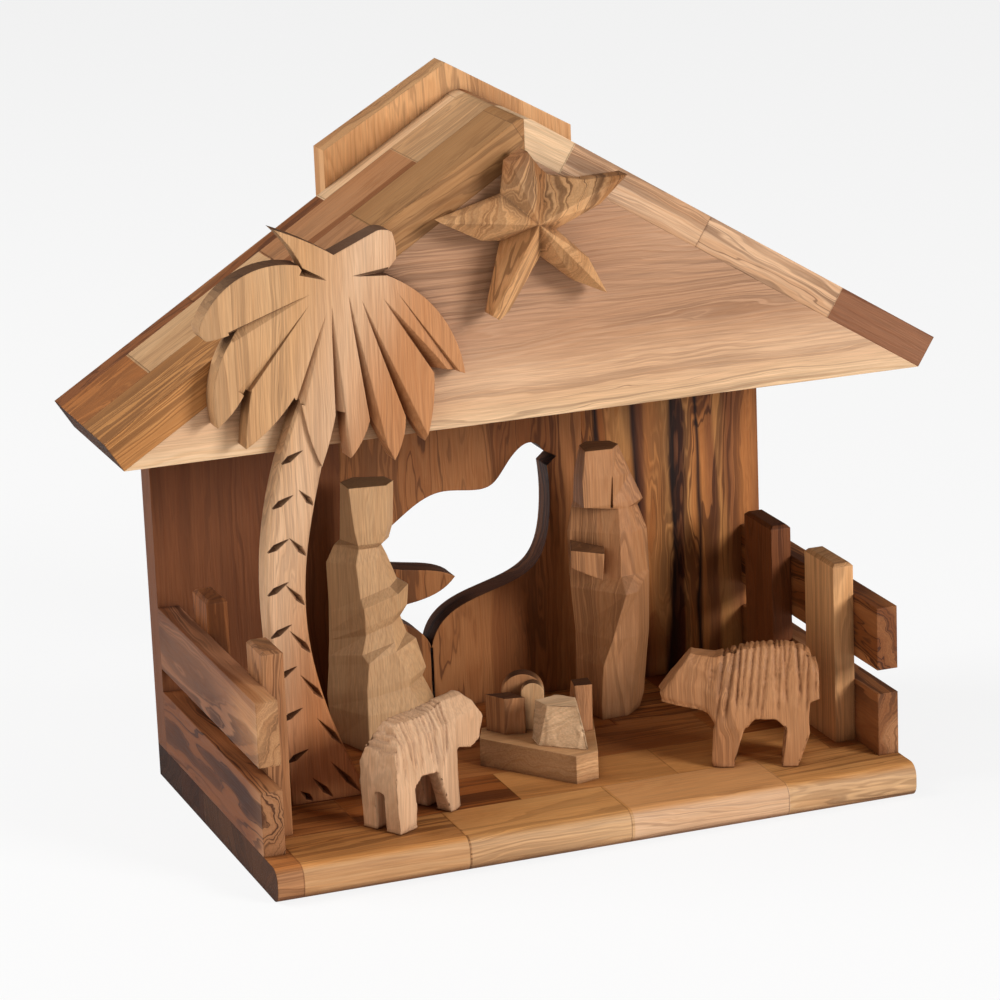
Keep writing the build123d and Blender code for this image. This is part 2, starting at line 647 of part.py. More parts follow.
# The cut behind the cheek, from its full upper end to the lower end where it runs out
NECK_CUT = ((9.2, 28.0), (12.0, 15.0))
left_sheep_x = LEFT_SHEEP_INSET - BASE_WIDTH / 2
left_sheep_y = LEFT_SHEEP_FROM_FRONT - BASE_DEPTH / 2
right_sheep_x = BASE_WIDTH / 2 - RIGHT_SHEEP_INSET
right_sheep_y = RIGHT_SHEEP_FROM_FRONT - BASE_DEPTH / 2
sheep = (
    ("sheep_left", LEFT_SHEEP_OUTLINE, left_sheep_x, left_sheep_y, LEFT_SHEEP_HEADING),
    ("sheep_right", RIGHT_SHEEP_OUTLINE, right_sheep_x, right_sheep_y, RIGHT_SHEEP_HEADING),
)
half = SHEEP_WIDTH / 2
for name, outline, place_x, place_y, heading in sheep:
    forward = Vector(1, 0, 0).rotate(Axis.Z, heading)
    sideways = Vector(0, 1, 0).rotate(Axis.Z, heading)
    foot = Vector(place_x, place_y, base_top)
    side_plane = Plane(origin=foot, x_dir=forward, z_dir=-sideways)
    end_plane = Plane(origin=foot, x_dir=sideways, z_dir=forward)
    plan_plane = Plane(origin=foot, x_dir=forward, z_dir=(0, 0, 1))
    back_height = max(z for x, z in outline)
    reach = 2 * back_height
    upper_flank = (
        (half, FLANK_TOP * back_height),
        (SHOULDER_WIDTH * half, SHOULDER_TOP * back_height),
        (SPINE_WIDTH * half, back_height),
        (-SPINE_WIDTH * half, back_height),
        (-SHOULDER_WIDTH * half, SHOULDER_TOP * back_height),
        (-half, FLANK_TOP * back_height),
    )
    right_plan = [(place, share * half) for place, share in (NECK, CHEEK, MUZZLE, NOSE)]
    left_plan = [(place, -across) for place, across in reversed(right_plan)]
    with BuildPart() as animal:
        with BuildSketch(side_plane):
            Polygon(*outline, align=None)
        extrude(amount=half, both=True)
        with BuildSketch(end_plane):
            Polygon((half, 0), *upper_flank, (-half, 0), align=None)
            with Locations((0, LEG_SLOT_HEIGHT / 2)):
                Rectangle(LEG_SLOT, LEG_SLOT_HEIGHT, mode=Mode.SUBTRACT)
        extrude(amount=reach, both=True, mode=Mode.INTERSECT)
        with BuildSketch(plan_plane):
            Polygon((-reach, half), *right_plan, *left_plan, (-reach, -half), align=None)
        extrude(amount=reach, mode=Mode.INTERSECT)
        for place, lean, low_end in WOOL_GROOVES:
            groove_plane = end_plane.offset(place).rotated((lean, 0, 0))
            with BuildLine(groove_plane) as groove_path:
                Polyline((half, low_end), *upper_flank, (-half, low_end))
            start = Plane(origin=groove_path.line @ 0, x_dir=forward, z_dir=groove_path.line % 0)
            with BuildSketch(start):
                Polygon(
                    (-WOOL_WIDTH / 2, 0),
                    (0, WOOL_DEPTH),
                    (WOOL_WIDTH / 2, 0),
                    (0, -WOOL_DEPTH),
                    align=None,
                )
            sweep(path=groove_path.line, transition=Transition.RIGHT, mode=Mode.SUBTRACT)
        near_cheek = side_plane.offset(NECK_CUT_REACH)
        neck_cut = knife_cut(near_cheek, *NECK_CUT, NECK_CUT_WIDTH, NECK_CUT_WIDTH, NECK_CUT_DEPTH)
        add(neck_cut, mode=Mode.SUBTRACT)
        add(neck_cut.mirror(side_plane), mode=Mode.SUBTRACT)
    write(animal, name)
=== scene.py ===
"""Looks of the olive-wood nativity stable: carved pieces, wood materials, floor, light and camera.

Metres, in the frame of the solids: +X to the right, +Y to the back wall, +Z up. The sizes and places
that follow the solids are named in millimetres.
"""

from math import atan2, cos, radians, sin

import bmesh
import bpy
import numpy as np
from mathutils import Matrix, Vector
from mathutils.kdtree import KDTree


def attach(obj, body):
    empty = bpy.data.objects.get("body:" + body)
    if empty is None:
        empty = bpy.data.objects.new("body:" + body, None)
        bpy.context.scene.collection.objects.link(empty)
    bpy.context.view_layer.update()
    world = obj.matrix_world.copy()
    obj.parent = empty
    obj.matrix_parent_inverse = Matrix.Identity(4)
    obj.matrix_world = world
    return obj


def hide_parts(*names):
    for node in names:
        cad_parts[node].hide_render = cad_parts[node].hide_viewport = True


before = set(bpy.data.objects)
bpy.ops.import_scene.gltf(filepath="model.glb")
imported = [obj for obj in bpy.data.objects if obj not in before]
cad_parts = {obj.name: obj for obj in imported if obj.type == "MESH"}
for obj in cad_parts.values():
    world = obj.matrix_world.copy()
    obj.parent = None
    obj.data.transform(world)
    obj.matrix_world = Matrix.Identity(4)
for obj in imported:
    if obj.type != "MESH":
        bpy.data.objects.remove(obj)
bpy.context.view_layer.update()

# Millimetres in a metre
PER_METRE = 1000.0

# Sizes of the solids that the carving and the materials follow, in millimetres
BASE_WIDTH = 165.0
BASE_DEPTH = 101.2
BASE_ROWS = 5
ODD_BASE_JOINT = 6.5
EVEN_BASE_JOINT = 27.2
STAVE_LENGTH = 41.4
ROOF_OFFSET = 3.0
ROOF_SPAN = 216.5
ROOF_RISE = 67.7
RIDGE_HEIGHT = 171.1
ROOF_SEAMS = (16.2, 36.4)
LEFT_ROOF_JOINTS = (44.8, 24.1, 44.8)
RIGHT_ROOF_JOINTS = (15.3, 36.0, 15.3)
WALL_THICKNESS = 8.0
WALL_BACK = BASE_DEPTH / 2
WALL_FRONT = WALL_BACK - WALL_THICKNESS

# Carving, in millimetres; a face is told by its normal
CARVED_DETAIL = 0.4
CHILD_DETAIL = 0.25
FACE_COUNT_KEPT = 0.45
FEWEST_CUTS = 4
CUTS_MET = 8
FIRST_BITE = 0.6
SCOOP_CURVE = 0.11
SAME_FACE = (0.6, 0.9)
UNDERSIDE = -0.6
CUT_GROWTH = 2
CUT_EASING = 2
SOFTENING = 2

# Sheep in degrees and millimetres; the body is a share of the length, wool ends at a share of the height
LEFT_SHEEP_HEADING = 30.6
RIGHT_SHEEP_HEADING = 155.7
SHEEP_BODY = 0.62
WOOL_PITCH = 1.5
WOOL_STRAY = (0.2, 0.8)
WOOL_LEAN = (-6.0, 2.0)
WOOL_ENDS = (0.36, 0.56)
WOOL_DEPTH = 0.8
WOOL_STRENGTH = (0.5, 1.0)
WOOL_HALF_WIDTH = 0.55
WOOL_FADE = 3.0
WOOL_OVERLAP = 1.0

# Star and saw cut, in millimetres
STAR_CENTER = (1.7, 146.5)
STAR_RIDGE = (-1.4, 0.9)
STAR_BACK = -7.0
STAR_FRONT = -19.4
SAW_OVERRUN = 1.0

# Figure of olive wood, with the numbers of a group in the order in which the node helpers take them
LOG_SPREAD = (900.0, 110.0, 110.0)
DRAWN_OUT = (0.16, 1.0, 1.0)
WIDE_BEND = (0.05, 18.0)
SMALL_BEND = (0.3, 3.0)
BEND_DETAIL = 2.0
SEED_RINGS = 7.3
STAVE_SEED = 0.5
NOISE_MIDDLE = (0.5, 0.5, 0.5)
BAND_ROUGHNESS = 0.6
LINE_CORE = 0.2
HEART_BAND = (0.32, 11.0, 1.0)
HEART_LEVELS = (0.50, 0.60)
HEART_FIGURE = (0.3, 1.2)
RIM_LINE = (0.52, 0.03)
VEIN_BAND = (0.9, 53.0, 3.0)
VEIN_LINE = (0.5, 0.05)
FINE_BAND = (5.0, 91.0, 2.0)
FINE_LEVELS = (0.35, 0.75)
FINE_SHARE = (0.35, 0.35)
FINE_DENT = -0.3
FIBRE_STRETCH = (0.09, 2.4, 2.4)
FIBRE_NOISE = (1.0, 3.0)
FIBRE_SHADE = (0.60, 0.70)
FIBRE_ROUGHNESS = (0.22, 0.44)
PATCH_STRETCH = (0.25, 1.0, 1.0)
PATCH_NOISE = (0.04, 1.0)
PATCH_LEVELS = (0.34, 0.60)
BLOTCH_NOISE = (0.06, 2.0)
BLOTCH_LEVELS = (0.36, 0.66)
BLOTCH_SHARE = 0.45
STRAY_NOISE = (0.09, 3.0)
STOP_STRAY = 12.0

# Finish of the wood and painted shade and light: joints and saw marks in millimetres, edges, bumps and
# reaches in metres
STEEP = 0.9
JOINT_LINE = 0.16
JOINT_CORE = 0.4
JOINT_SHADE = 0.35
SAWN_STEP = 2.0
END_LEVELS = (0.35, 0.95)
END_ROUGHNESS = 0.14
# Painted warm reflection and shade on top faces
TOP_REFLECTION_LEVELS = (0.6, 0.98)
# Painted shade in recesses, in wool grooves and where pieces meet
RECESS_SHADE_START = 0.1
RECESS_SHADE_REACH = (0.004, 0.8)
WOOL_SHADE_REACH = (0.0012, 0.4)
EDGE_ROUND = 0.0005
# Painted highlight along edges
EDGE_HIGHLIGHT_LEVELS = (0.01, 0.25)
EDGE_HIGHLIGHT_SHARE = 0.3
BUMP_DEPTH = 0.00016
BUMP_STRENGTH = 0.6
SHINE = 0.22
SHADING_SAMPLES = 4

# Studio, in metres, degrees and watts, with film and lens in millimetres
WHITE = (1.0, 1.0, 1.0)
FLOOR_SIZE = 6.0
FLOOR_GREY = (0.86, 0.86, 0.86)
FLOOR_ROUGHNESS = 0.9
FLOOR_GLOW = 0.84
WORLD_FILL = 0.1
FILL_TINGE = (1.0, 0.93, 0.84)
CAMERA_PLACE = (-0.33146, -0.90473, 0.34913)
CAMERA_HEADING = -19.818
CAMERA_TILT = 74.11
CAMERA_ROLL = -2.274
CAMERA_FILM = 36.0
CAMERA_LENS = 146.35

# Directions
ACROSS = (1, 0, 0)
BACKWARD = (0, 1, 0)
UPWARD = (0, 0, 1)
STAR_GRAIN = (0.5, 0, 0.86)
PALM_FALL = (0.95, 0.0, -0.3)


def linear(red, green, blue):
    """Scene-linear colour of an 8-bit display colour."""
    channels = []
    for value in (red, green, blue):
        share = value / 255
        channels.append(share / 12.92 if share <= 0.04045 else ((share + 0.055) / 1.055) ** 2.4)
    return (*channels, 1.0)


# Tones of olive wood, roughly from sapwood to heartwood, and of glue
CREAM = linear(230, 194, 154)
PALE = linear(218, 178, 142)
SAND = linear(208, 166, 122)
STRAW = linear(204, 158, 112)
AMBER = linear(224, 172, 120)
ROSE = linear(185, 143, 111)
RUDDY = linear(192, 134, 88)
OLIVE = linear(174, 128, 82)
GOLD = linear(198, 140, 82)
HONEY = linear(188, 122, 66)
TAN = linear(182, 130, 88)
RUST = linear(162, 106, 62)
BROWN = linear(148, 92, 52)
PLUM = linear(142, 95, 66)
WALNUT = linear(126, 74, 40)
DARK = linear(116, 68, 38)
UMBER = linear(60, 32, 18)
GLUE = linear(60, 34, 22)

# Share of the tone's red, green and blue that is left in darker or lighter wood, or where light or shade
# is painted
MIDDLE = (0.80, 0.69, 0.58)
HEART = (0.52, 0.37, 0.24)
VEIN = (0.20, 0.14, 0.11)
END_GRAIN = (0.19, 0.15, 0.13)
# Painted highlight along edges
EDGE_HIGHLIGHT = (1.5, 1.45, 1.4)
# Painted shade in recesses and where pieces meet
RECESS_SHADE = (0.42, 0.33, 0.27)
SAWN = (0.32, 0.26, 0.22)
# Darker and redder towards the foot: partly the wood's own tone, partly painted shade
FOOT_TONE_AND_SHADE = (1.0, 0.86, 0.78)
# Painted warm reflection and shade on top faces
TOP_WARM_REFLECTION = (1.0, 0.80, 0.52)


# Carved pieces, which stand for their solids
shown = dict(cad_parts)
chance = np.random.default_rng(7)


def settle(piece):
    """Give a piece the mesh that its modifiers make, and take the modifiers off."""
    graph = bpy.context.evaluated_depsgraph_get()
    mesh = bpy.data.meshes.new_from_object(piece.evaluated_get(graph))
    piece.modifiers.clear()
    piece.data = mesh


def stand_in(name, mesh):
    """New piece on the body that replaces the named node and takes a finish of the record."""
    piece = bpy.data.objects.new(name + "_carved", mesh)
    bpy.context.scene.collection.objects.link(piece)
    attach(piece, "root")
    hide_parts(name)
    shown[name] = piece
    return piece


def refine(piece, detail):
    """Even out a piece's mesh, fine enough to carry knife cuts."""
    remesh = piece.modifiers.new("remesh", "REMESH")
    remesh.mode = "VOXEL"
    remesh.voxel_size = detail / PER_METRE
    remesh.use_smooth_shade = True
    settle(piece)


def read_points(mesh):
    """Places in millimetres and normals of a mesh's points."""
    places = np.empty(3 * len(mesh.vertices))
    mesh.vertices.foreach_get("co", places)
    normals = np.empty(3 * len(mesh.vertices))
    mesh.vertex_normals.foreach_get("vector", normals)
    return places.reshape(-1, 3) * PER_METRE, normals.reshape(-1, 3)


def write_points(mesh, places):
    """Put a mesh's points at places in millimetres."""
    mesh.vertices.foreach_set("co", (places / PER_METRE).ravel())
    mesh.update()


def spread(mesh, values):
    """Values of a mesh's points, grown over their neighbours and then averaged with them."""
    ends = np.empty(2 * len(mesh.edges), np.int32)
    mesh.edges.foreach_get("vertices", ends)
    first, second = ends.reshape(-1, 2).T
    for step in range(CUT_GROWTH):
        grown = values.copy()
        np.maximum.at(grown, first, values[second])
        np.maximum.at(grown, second, values[first])
        values = grown
    size = len(values)
    neighbours = np.bincount(first, minlength=size) + np.bincount(second, minlength=size)
    for step in range(CUT_EASING):
        total = np.bincount(first, values[second], size) + np.bincount(second, values[first], size)
        values = total / neighbours
    return values


def row_dots(first, second):
    """Dot product of each row of one array with the same row of another."""
    return np.einsum("ij,ij->i", first, second)


def whittle(piece, cell, depth, tilt):
    """Cut a piece back with shallow knife cuts, about a cell apart and tilted at random.

    A cut is deepest at its middle. The underside stays.
    """
    places, normals = read_points(piece.data)
    # Points in order of place, so that every run draws the same ones
    order = np.lexsort(np.round(places, 3).T)
    area = sum(polygon.area for polygon in piece.data.polygons) * PER_METRE ** 2
    picked = chance.choice(order, max(FEWEST_CUTS, int(area / cell ** 2)), replace=False)
    tree = KDTree(len(picked))
    for number, point in enumerate(picked):
        tree.insert(places[point], number)
    tree.balance()
    lean = chance.normal(0.0, radians(tilt), (len(picked), 3))
    cut_normals = normals[picked] + lean
    cut_normals /= np.linalg.norm(cut_normals, axis=1)[:, None]
    cut_places = places[picked] - cut_normals * FIRST_BITE * depth
    nearest = np.array([[found[1] for found in tree.find_n(place, CUTS_MET)] for place in places])
    bite = np.zeros(len(places))
    for rank in range(CUTS_MET):
        cut = nearest[:, rank]
        away = places - cut_places[cut]
        proud = row_dots(away, cut_normals[cut])
        rise = SCOOP_CURVE * row_dots(away, away) / cell
        facing = row_dots(normals, cut_normals[cut])
        alike = np.clip((facing - SAME_FACE[0]) / (SAME_FACE[1] - SAME_FACE[0]), 0.0, 1.0)
        bite = np.maximum(bite, alike * (proud - rise))
    bite = spread(piece.data, np.clip(bite, 0.0, depth))
    bite[normals[:, 2] < UNDERSIDE] = 0.0
    write_points(piece.data, places - normals * bite[:, None])


def fleece(piece, heading):
    """Cut wool strokes down a sheep's flanks; it heads to the given angle."""
    places, normals = read_points(piece.data)
    middle = (places.min(axis=0) + places.max(axis=0)) / 2
    turn = radians(heading)
    along = (places - middle) @ np.array((cos(turn), sin(turn), 0.0))
    across = (places - middle) @ np.array((-sin(turn), cos(turn), 0.0))
    tall = np.ptp(places[:, 2])
    height = (places[:, 2] - places[:, 2].min()) / tall
    strokes = int(np.ptp(along) * SHEEP_BODY / WOOL_PITCH)
    bite = np.zeros(len(places))
    for flank in (-1, 1):
        for stroke in range(strokes):
            start = along.min() + (stroke + chance.uniform(*WOOL_STRAY)) * WOOL_PITCH
            line = start + chance.uniform(*WOOL_LEAN) * (height - 1.0) * flank
            end = chance.uniform(*WOOL_ENDS)
            deep = WOOL_DEPTH * chance.uniform(*WOOL_STRENGTH)
            inside = np.clip(1.0 - np.abs(along - line) / WOOL_HALF_WIDTH, 0.0, 1.0)
            above = np.clip((height - end) * tall / WOOL_FADE, 0.0, 1.0)
            here = flank * across > -WOOL_OVERLAP
            bite = np.maximum(bite, deep * inside * above * here)
    write_points(piece.data, places - normals * bite[:, None])


def thin_out(piece):
    """Drop the faces that a flat cut doesn't need."""
    decimate = piece.modifiers.new("thin", "DECIMATE")
    decimate.ratio = FACE_COUNT_KEPT
    settle(piece)


def carve(name, cell, depth, tilt, detail=CARVED_DETAIL, heading=None):
    """Whittled piece in place of a solid, with wool where it has a heading."""
    piece = stand_in(name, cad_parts[name].data.copy())
    refine(piece, detail)
    whittle(piece, cell, depth, tilt)
    soften = piece.modifiers.new("soften", "SMOOTH")
    soften.iterations = SOFTENING
    settle(piece)
    if heading is not None:
        fleece(piece, heading)
    thin_out(piece)


def prism(outline, back, fronts, peak=None):
    """Mesh of an outline in X and Z, from the back to a front depth at each point, in millimetres.

    A peak, where there is one, raises the middle of the front.
    """
    shape = bmesh.new()
    rear = [shape.verts.new(Vector((x, back, z)) / PER_METRE) for x, z in outline]
    face = [shape.verts.new(Vector((x, front, z)) / PER_METRE) for (x, z), front in zip(outline, fronts)]
    corners = [(corner, (corner + 1) % len(outline)) for corner in range(len(outline))]
    shape.faces.new(rear)
    for corner, after in corners:
        shape.faces.new((rear[corner], rear[after], face[after], face[corner]))
    if peak:
        top = shape.verts.new(Vector(peak) / PER_METRE)
        for corner, after in corners:
            shape.faces.new((face[corner], face[after], top))
    else:
        shape.faces.new(face)
    shape.normal_update()
    bmesh.ops.triangulate(shape, faces=shape.faces[:])
    bmesh.ops.recalc_face_normals(shape, faces=shape.faces[:])
    mesh = bpy.data.meshes.new("prism")
    shape.to_mesh(mesh)
    shape.free()
    mesh.materials.append(None)
    return mesh


# Child and sheep
carve("child_body", cell=4.0, depth=0.35, tilt=4.0, detail=CHILD_DETAIL)
carve("sheep_left", cell=6.0, depth=0.5, tilt=6.0, heading=LEFT_SHEEP_HEADING)
carve("sheep_right", cell=6.0, depth=0.5, tilt=6.0, heading=RIGHT_SHEEP_HEADING)

# Star, with a ridge from its centre to each ray's tip and a valley to each waist
star_outline = (
    # Place from the centre and thickness there, from the left ray's tip round below
    (-23.4, 2.3, 5.5), (-13.2, -3.2, 4.0), (-7.0, -4.2, 2.5), (-11.6, -21.6, 5.5), (-9.8, -22.8, 5.5),
    (-6.8, -20.8, 4.5), (2.2, -8.8, 2.5), (10.2, -15.6, 4.0), (18.0, -19.2, 5.5), (13.8, -10.2, 4.5),
    (6.5, -2.8, 2.5), (17.6, 2.5, 4.0), (24.2, 9.2, 5.5), (13.2, 8.8, 4.0), (5.0, 10.6, 2.5),
    (2.0, 13.2, 4.5), (-1.2, 17.4, 5.5), (-5.4, 14.9, 5.5), (-6.6, 6.9, 2.5),
)
star_x, star_z = STAR_CENTER
star_places = [(star_x + x, star_z + z) for x, z, thick in star_outline]
star_fronts = [STAR_BACK - thick for x, z, thick in star_outline]
star_peak = (star_x + STAR_RIDGE[0], STAR_FRONT, star_z + STAR_RIDGE[1])
stand_in("star", prism(star_places, STAR_BACK, star_fronts, star_peak))

# Middle board of the back wall, with the dove's beak sawn out
beak = ((19.4, 75.7), (20.4, 75.2), (25.8, 72.2), (22.8, 69.6), (20.0, 72.0))
saw_mesh = prism(beak, WALL_BACK + SAW_OVERRUN, [WALL_FRONT - SAW_OVERRUN] * len(beak))
saw = bpy.data.objects.new("beak_saw", saw_mesh)
bpy.context.scene.collection.objects.link(saw)
center_board = stand_in("back_board_center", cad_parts["back_board_center"].data.copy())
sawing = center_board.modifiers.new("beak", "BOOLEAN")
sawing.operation = "DIFFERENCE"
sawing.object = saw
settle(center_board)
bpy.data.objects.remove(saw)


# Node helpers
def add_node(tree, kind, **settings):
    """New node of a kind with its settings."""
    made = tree.nodes.new(kind)
    for name, value in settings.items():
        setattr(made, name, value)
    return made


def feed(tree, socket, value):
    """Link a socket's source, or set its value."""
    if isinstance(value, bpy.types.NodeSocket):
        tree.links.new(value, socket)
    else:
        socket.default_value = value


def calc(tree, operation, *values):
    """Result of a Math node."""
    made = add_node(tree, "ShaderNodeMath", operation=operation)
    for socket, value in zip(made.inputs, values):
        feed(tree, socket, value)
    return made.outputs[0]


def invert(tree, value):
    """What a value leaves of 1."""
    return calc(tree, "SUBTRACT", 1.0, value)


def vector_calc(tree, operation, *values):
    """Vector result of a Vector Math node."""
    made = add_node(tree, "ShaderNodeVectorMath", operation=operation)
    for socket, value in zip(made.inputs, values):
        feed(tree, socket, value)
    return made.outputs["Vector"]


def dot(tree, first, second):
    """Dot product of two vectors."""
    made = add_node(tree, "ShaderNodeVectorMath", operation="DOT_PRODUCT")
    feed(tree, made.inputs[0], first)
    feed(tree, made.inputs[1], second)
    return made.outputs["Value"]


def combine(tree, x, y, z):
    """Vector from three values."""
    made = add_node(tree, "ShaderNodeCombineXYZ")
    for socket, value in zip(made.inputs, (x, y, z)):
        feed(tree, socket, value)
    return made.outputs[0]


def smooth(tree, value, low, high):
    """0 at low, 1 at high, with an eased step between them."""
    made = add_node(tree, "ShaderNodeMapRange", interpolation_type="SMOOTHSTEP")
    feed(tree, made.inputs["Value"], value)
    made.inputs["From Min"].default_value = low
    made.inputs["From Max"].default_value = high
    return made.outputs[0]


def blend(tree, factor, first, second, mode="MIX"):
    """Colour mix of first and second."""
    made = add_node(tree, "ShaderNodeMix", data_type="RGBA", blend_type=mode)
    # The node's colour sockets come after those for numbers and vectors
    feed(tree, made.inputs[0], factor)
    feed(tree, made.inputs[6], first)
    feed(tree, made.inputs[7], second)
    return made.outputs[2]


def tint(tree, color, share):
    """Colour multiplied by a share of each channel."""
    return blend(tree, 1.0, color, (*share, 1.0), "MULTIPLY")


def tint_where(tree, factor, color, share):
    """Colour that is tinted as far as the factor says."""
    return blend(tree, factor, color, tint(tree, color, share))


def noise(tree, vector, scale, detail):
    """Noise texture node on a vector."""
    made = add_node(tree, "ShaderNodeTexNoise", noise_dimensions="3D")
    feed(tree, made.inputs["Vector"], vector)
    made.inputs["Scale"].default_value = scale
    made.inputs["Detail"].default_value = detail
    return made


def wobble(tree, vector, scale, amount):
    """Noise vector about zero that bends the grain sideways by the amount in millimetres."""
    colors = noise(tree, vector, scale, BEND_DETAIL).outputs["Color"]
    centred = vector_calc(tree, "SUBTRACT", colors, NOISE_MIDDLE)
    return vector_calc(tree, "MULTIPLY", centred, (0.0, amount, amount))


def bands(tree, value, scale, offset, detail):
    """Noise along one value: irregular bands that follow the growth rings."""
    made = add_node(tree, "ShaderNodeTexNoise", noise_dimensions="1D")
    feed(tree, made.inputs["W"], calc(tree, "ADD", calc(tree, "MULTIPLY", value, scale), offset))
    made.inputs["Scale"].default_value = 1.0
    made.inputs["Detail"].default_value = detail
    made.inputs["Roughness"].default_value = BAND_ROUGHNESS
    return made.outputs[0]


def near(tree, value, level, width):
    """1 where a value is at the level, falling to 0 within the width."""
    distance = calc(tree, "ABSOLUTE", calc(tree, "SUBTRACT", value, level))
    return invert(tree, smooth(tree, distance, LINE_CORE * width, width))


def dice(tree, value):
    """Random vector about zero for one value."""
    made = add_node(tree, "ShaderNodeTexWhiteNoise", noise_dimensions="1D")
    feed(tree, made.inputs["W"], value)
    return vector_calc(tree, "SUBTRACT", made.outputs["Color"], NOISE_MIDDLE)


def olive_group():
    """Node group of the olive wood itself: growth rings round a pith, heartwood, veins and fibre."""
    group = bpy.data.node_groups.new("olive_wood", "ShaderNodeTree")
    sockets = group.interface
    sockets.new_socket(name="Grain", in_out="INPUT", socket_type="NodeSocketVector")
    sockets.new_socket(name="Seed", in_out="INPUT", socket_type="NodeSocketFloat")
    sockets.new_socket(name="Tone", in_out="INPUT", socket_type="NodeSocketColor")
    sockets.new_socket(name="Figure", in_out="INPUT", socket_type="NodeSocketFloat")
    sockets.new_socket(name="Ring", in_out="INPUT", socket_type="NodeSocketFloat")
    sockets.new_socket(name="Color", in_out="OUTPUT", socket_type="NodeSocketColor")
    sockets.new_socket(name="Roughness", in_out="OUTPUT", socket_type="NodeSocketFloat")
    sockets.new_socket(name="Height", in_out="OUTPUT", socket_type="NodeSocketFloat")
    source = add_node(group, "NodeGroupInput").outputs
    result = add_node(group, "NodeGroupOutput").inputs
    tone = source["Tone"]
    figure = source["Figure"]

    # Every seed is another place in the log
    shift = vector_calc(group, "MULTIPLY", dice(group, source["Seed"]), LOG_SPREAD)
    place = vector_calc(group, "ADD", source["Grain"], shift)
    along = vector_calc(group, "MULTIPLY", place, DRAWN_OUT)
    bend = vector_calc(group, "ADD", wobble(group, along, *WIDE_BEND), wobble(group, along, *SMALL_BEND))
    flat = vector_calc(group, "MULTIPLY", vector_calc(group, "ADD", place, bend), (0.0, 1.0, 1.0))
    length = add_node(group, "ShaderNodeVectorMath", operation="LENGTH")
    feed(group, length.inputs[0], flat)
    rings = calc(group, "DIVIDE", length.outputs["Value"], source["Ring"])
    rings = calc(group, "ADD", rings, calc(group, "MULTIPLY", source["Seed"], SEED_RINGS))

    # Heartwood in wide bands with a dark rim, thin dark veins, and fine rings everywhere
    heart_band = bands(group, rings, *HEART_BAND)
    heart = smooth(group, heart_band, *HEART_LEVELS)
    rim = near(group, heart_band, *RIM_LINE)
    vein_line = near(group, bands(group, rings, *VEIN_BAND), *VEIN_LINE)
    fine = smooth(group, bands(group, rings, *FINE_BAND), *FINE_LEVELS)

    # Fibre, blotches, and patches where the veins run out
    fibre_place = vector_calc(group, "MULTIPLY", place, FIBRE_STRETCH)
    fibre = noise(group, fibre_place, *FIBRE_NOISE).outputs[0]
    patch_place = vector_calc(group, "MULTIPLY", place, PATCH_STRETCH)
    blotch = smooth(group, noise(group, patch_place, *BLOTCH_NOISE).outputs[0], *BLOTCH_LEVELS)
    patch = smooth(group, noise(group, patch_place, *PATCH_NOISE).outputs[0], *PATCH_LEVELS)

    color = tint_where(group, calc(group, "MULTIPLY", blotch, BLOTCH_SHARE), tone, MIDDLE)
    heart_share = calc(group, "MULTIPLY", heart, smooth(group, figure, *HEART_FIGURE))
    color = blend(group, heart_share, color, tint(group, tone, HEART))
    fine_share = calc(group, "MULTIPLY", fine, calc(group, "MULTIPLY_ADD", figure, *FINE_SHARE))
    color = tint_where(group, fine_share, color, MIDDLE)
    veins = calc(group, "MULTIPLY", calc(group, "MAXIMUM", vein_line, rim), patch)
    color = blend(group, calc(group, "MULTIPLY", veins, figure), color, tint(group, tone, VEIN))
    shade = calc(group, "MULTIPLY_ADD", fibre, *FIBRE_SHADE)
    color = blend(group, 1.0, color, combine(group, shade, shade, shade), "MULTIPLY")
    feed(group, result["Color"], color)
    feed(group, result["Roughness"], calc(group, "MULTIPLY_ADD", fibre, *FIBRE_ROUGHNESS))
    feed(group, result["Height"], calc(group, "MULTIPLY_ADD", fine, FINE_DENT, fibre))
    return group


OLIVE_WOOD = olive_group()


def ramp(tree, place, start, end, stops, stepped):
    """Colour ramp along a place in millimetres; a stop is its place, colour and figure."""
    made = add_node(tree, "ShaderNodeMapRange")
    feed(tree, made.inputs["Value"], place)
    made.inputs["From Min"].default_value = start
    made.inputs["From Max"].default_value = end
    colors = add_node(tree, "ShaderNodeValToRGB")
    feed(tree, colors.inputs[0], made.outputs[0])
    colors.color_ramp.interpolation = "CONSTANT" if stepped else "EASE"
    elements = colors.color_ramp.elements
    while len(elements) < len(stops):
        elements.new(1.0)
    for element, (stop, color, figure) in zip(elements, stops):
        element.position = (stop - start) / (end - start)
        element.color = (*color[:3], figure)
    return colors.outputs["Color"], colors.outputs["Alpha"]


def grain_axes(grain):
    """Direction along the grain and two directions across it."""
    along = Vector(grain).normalized()
    helper = Vector(UPWARD) if abs(along.z) < STEEP else Vector(BACKWARD)
    side = along.cross(helper).normalized()
    return tuple(along), tuple(side), tuple(along.cross(side))


def stave_tones(tree, run, staves, seed):
    """Tone, figure and seed of each stave in a row, and the distance from the nearest joint.

    The seeds of staves lie between those of whole boards.
    """
    start, first, tones = staves
    joint = start + first
    starts = [start] + [joint + STAVE_LENGTH * count for count in range(len(tones) - 1)]
    stops = [(edge, color, figure) for edge, (color, figure) in zip(starts, tones)]
    tone, figure = ramp(tree, run, start, joint + STAVE_LENGTH * len(tones), stops, stepped=True)
    count = calc(tree, "DIVIDE", calc(tree, "SUBTRACT", run, joint), STAVE_LENGTH)
    stave_seed = calc(tree, "ADD", calc(tree, "FLOOR", count), seed + STAVE_SEED)
    half = STAVE_LENGTH / 2
    fold = calc(tree, "PINGPONG", calc(tree, "SUBTRACT", run, joint - half), half)
    return tone, figure, stave_seed, calc(tree, "SUBTRACT", half, fold)


